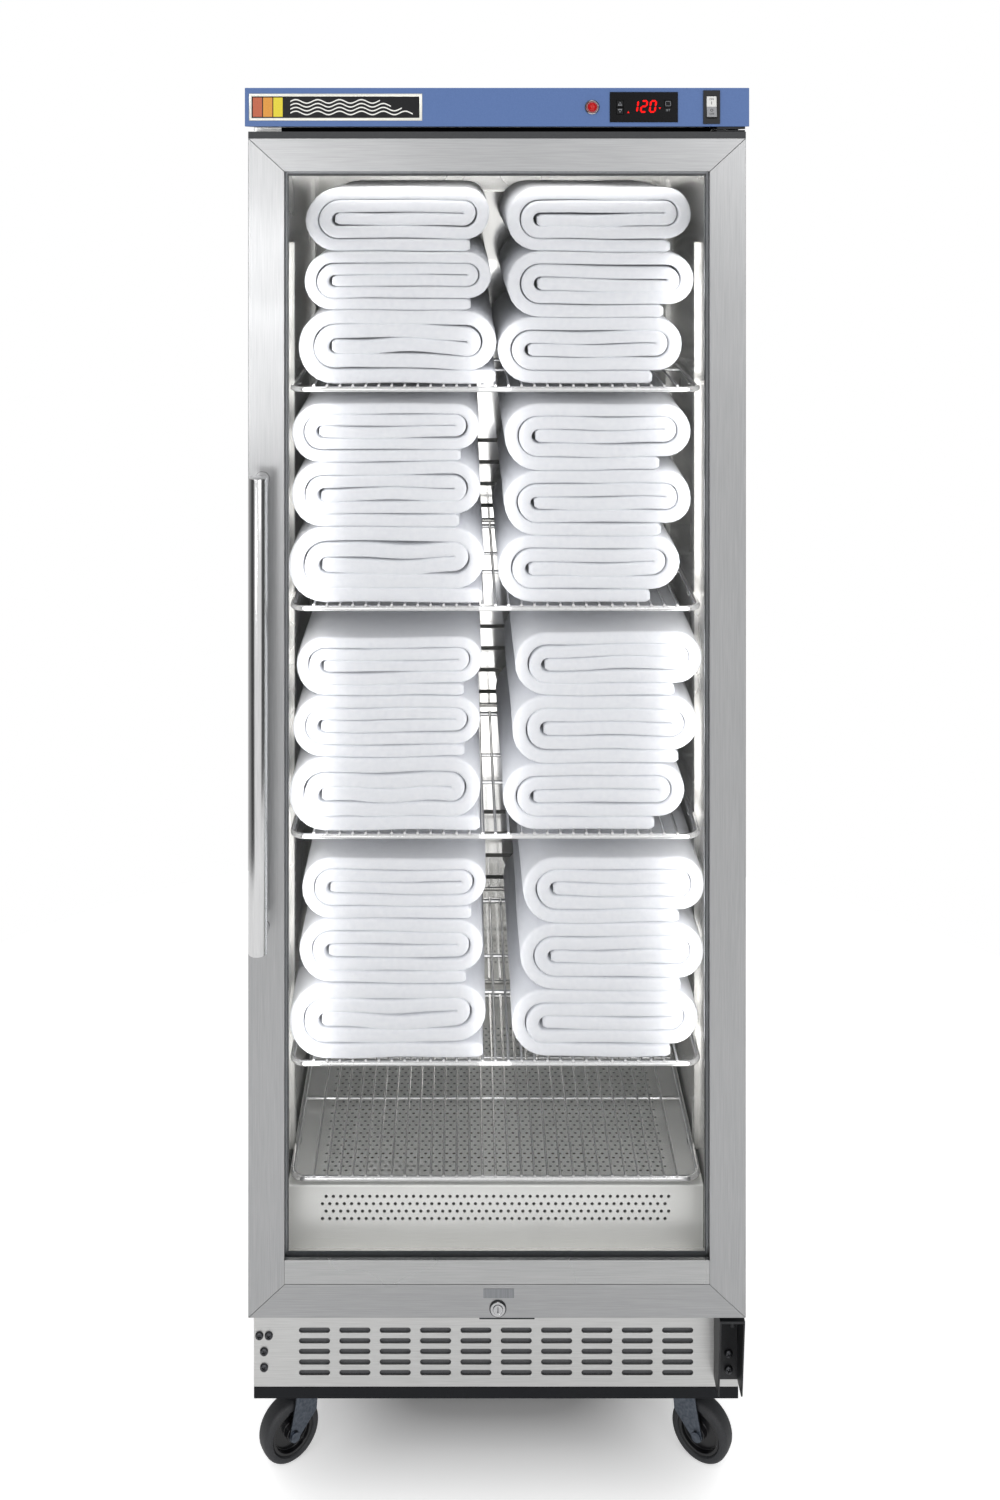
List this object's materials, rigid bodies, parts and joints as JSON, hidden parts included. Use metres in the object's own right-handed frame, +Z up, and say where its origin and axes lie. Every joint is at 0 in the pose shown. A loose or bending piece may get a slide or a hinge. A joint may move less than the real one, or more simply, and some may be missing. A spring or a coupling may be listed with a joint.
{
  "type": "blanket warming cabinet",
  "caption": "Tall insulated steel warming cabinet on casters, with a glazed hinged door, wire shelves of folded blankets and a control panel.",
  "frame": {"origin": "on the floor, under the middle of the whole object's box", "axes": "+Z up, -Y towards the door side, +X to the right of someone who faces the door"},
  "size_m": [0.6, 0.625, 1.6995],
  "materials": {
    "stainless": "brushed stainless sheet",
    "chamber_stainless": "bright stainless liner",
    "chrome_wire": "bright chromed wire",
    "polished_handle": "polished stainless bar",
    "silver_panel": "satin silver paint",
    "blue_panel": "satin blue paint",
    "black_base": "semi-gloss black paint",
    "black_bracket": "black powder coat",
    "zinc_screws": "dark zinc plating",
    "insulation_foam": "mineral wool slab",
    "door_cap_black": "charcoal trim",
    "clear_glass": "clear toughened glass",
    "spacer_alloy": "mill alloy",
    "gasket_rubber": "soft dark grey rubber",
    "lock_chrome": "plated lock",
    "nameplate_film": "printed film on an alloy plate",
    "lamp_red": "red lens in a chromed bezel",
    "display_black": "smoked window",
    "key_black": "soft keys",
    "circuit_board": "green laminate",
    "switch_black": "moulded black",
    "rocker_two_tone": "white and grey moulding",
    "inlet_black": "moulded black",
    "galvanised": "galvanised sheet",
    "heater_sheath": "oxidised sheath",
    "motor_grey": "motor casing",
    "blanket_fleece": "white fleece",
    "caster_steel": "zinc-plated pressing",
    "tyre_rubber": "dark grey rubber tyre",
    "hub_black": "moulded black hub"
  },
  "bodies": {
    "cabinet": {"base_plate": "black_base", "grille_panel": "silver_panel", "panel_screws": "zinc_screws", "outer_shell": "stainless", "rear_panel": "stainless", "insulation": "insulation_foam", "liner": "chamber_stainless", "mains_inlet": "inlet_black", "control_panel": "blue_panel", "top_cover": "stainless", "nameplate": "nameplate_film", "pilot_lamp": "lamp_red", "display_window": "display_black", "control_board": "circuit_board", "switch_bezel": "switch_black", "hinge_brackets": "black_bracket", "strike_plate": "stainless", "shelf_pilasters": "chamber_stainless", "shelf_clips": "chrome_wire", "air_duct": "chamber_stainless", "heater_cover": "chamber_stainless", "heater_element": "heater_sheath", "blower_housing": "galvanised", "blower_motor": "motor_grey", "caster_plates": "caster_steel", "shelf_1": "chrome_wire", "shelf_2": "chrome_wire", "shelf_3": "chrome_wire", "shelf_4": "chrome_wire", "shelf_5": "chrome_wire", "blankets_shelf_1": "blanket_fleece", "blankets_shelf_2": "blanket_fleece", "blankets_shelf_3": "blanket_fleece", "blankets_shelf_4": "blanket_fleece"},
    "door": {"door_frame": "stainless", "door_cap": "door_cap_black", "door_glass": "clear_glass", "glass_spacer": "spacer_alloy", "door_gasket": "gasket_rubber", "door_handle": "polished_handle", "lock_barrel": "lock_chrome", "door_hinge_plates": "stainless"},
    "lock": {"lock_core": "lock_chrome"},
    "rocker": {"rocker_switch": "rocker_two_tone"},
    "key_up": {"key_up": "key_black"},
    "key_down": {"key_down": "key_black"},
    "key_set": {"key_set": "key_black"},
    "rotor": {"blower_rotor": "galvanised"},
    "fork_front_left": {"fork_front_left": "caster_steel"},
    "wheel_front_left": {"hub_front_left": "hub_black", "tyre_front_left": "tyre_rubber"},
    "fork_front_right": {"fork_front_right": "caster_steel"},
    "wheel_front_right": {"hub_front_right": "hub_black", "tyre_front_right": "tyre_rubber"},
    "fork_rear_left": {"fork_rear_left": "caster_steel"},
    "wheel_rear_left": {"hub_rear_left": "hub_black", "tyre_rear_left": "tyre_rubber"},
    "fork_rear_right": {"fork_rear_right": "caster_steel"},
    "wheel_rear_right": {"hub_rear_right": "hub_black", "tyre_rear_right": "tyre_rubber"}
  },
  "joints": [
    {"name": "door_swing", "type": "hinge", "parent": "cabinet", "child": "door", "pos_m": [0.283, -0.2425, 0.942], "axis": [0, 0, 1], "range_deg": [0, 110]},
    {"name": "lock_turn", "type": "hinge", "parent": "door", "child": "lock", "pos_m": [0.001, -0.25, 0.248], "axis": [0, 1, 0], "range_deg": [0, 90]},
    {"name": "rocker_tilt", "type": "hinge", "parent": "cabinet", "child": "rocker", "pos_m": [0.255, -0.2595, 1.6765], "axis": [1, 0, 0], "range_deg": [0, 14]},
    {"name": "key_up_press", "type": "slide", "parent": "cabinet", "child": "key_up", "axis": [0, 1, 0], "range_m": [0, 0.0005], "stiffness_N_per_m": 800},
    {"name": "key_down_press", "type": "slide", "parent": "cabinet", "child": "key_down", "axis": [0, 1, 0], "range_m": [0, 0.0005], "stiffness_N_per_m": 800},
    {"name": "key_set_press", "type": "slide", "parent": "cabinet", "child": "key_set", "axis": [0, 1, 0], "range_m": [0, 0.0005], "stiffness_N_per_m": 800},
    {"name": "blower_spin", "type": "hinge", "parent": "cabinet", "child": "rotor", "pos_m": [0, 0.1925, 0.3], "axis": [1, 0, 0], "continuous": true},
    {"name": "caster_swivel_front_left", "type": "hinge", "parent": "cabinet", "child": "fork_front_left", "pos_m": [-0.236, -0.168, 0.08], "axis": [0, 0, 1], "continuous": true},
    {"name": "wheel_roll_front_left", "type": "hinge", "parent": "fork_front_left", "child": "wheel_front_left", "pos_m": [-0.25697, -0.18162, 0.0375], "axis": [0.5446, -0.8387, 0], "continuous": true},
    {"name": "caster_swivel_front_right", "type": "hinge", "parent": "cabinet", "child": "fork_front_right", "pos_m": [0.236, -0.168, 0.08], "axis": [0, 0, 1], "continuous": true},
    {"name": "wheel_roll_front_right", "type": "hinge", "parent": "fork_front_right", "child": "wheel_front_right", "pos_m": [0.25697, -0.18162, 0.0375], "axis": [0.5446, 0.8387, 0], "continuous": true},
    {"name": "caster_swivel_rear_left", "type": "hinge", "parent": "cabinet", "child": "fork_rear_left", "pos_m": [-0.236, 0.2485, 0.08], "axis": [0, 0, 1], "continuous": true},
    {"name": "wheel_roll_rear_left", "type": "hinge", "parent": "fork_rear_left", "child": "wheel_rear_left", "pos_m": [-0.25978, 0.24077, 0.0375], "axis": [0.309, -0.9511, 0], "continuous": true},
    {"name": "caster_swivel_rear_right", "type": "hinge", "parent": "cabinet", "child": "fork_rear_right", "pos_m": [0.236, 0.2485, 0.08], "axis": [0, 0, 1], "continuous": true},
    {"name": "wheel_roll_rear_right", "type": "hinge", "parent": "fork_rear_right", "child": "wheel_rear_right", "pos_m": [0.25978, 0.25623, 0.0375], "axis": [-0.309, 0.9511, 0], "continuous": true}
  ]
}
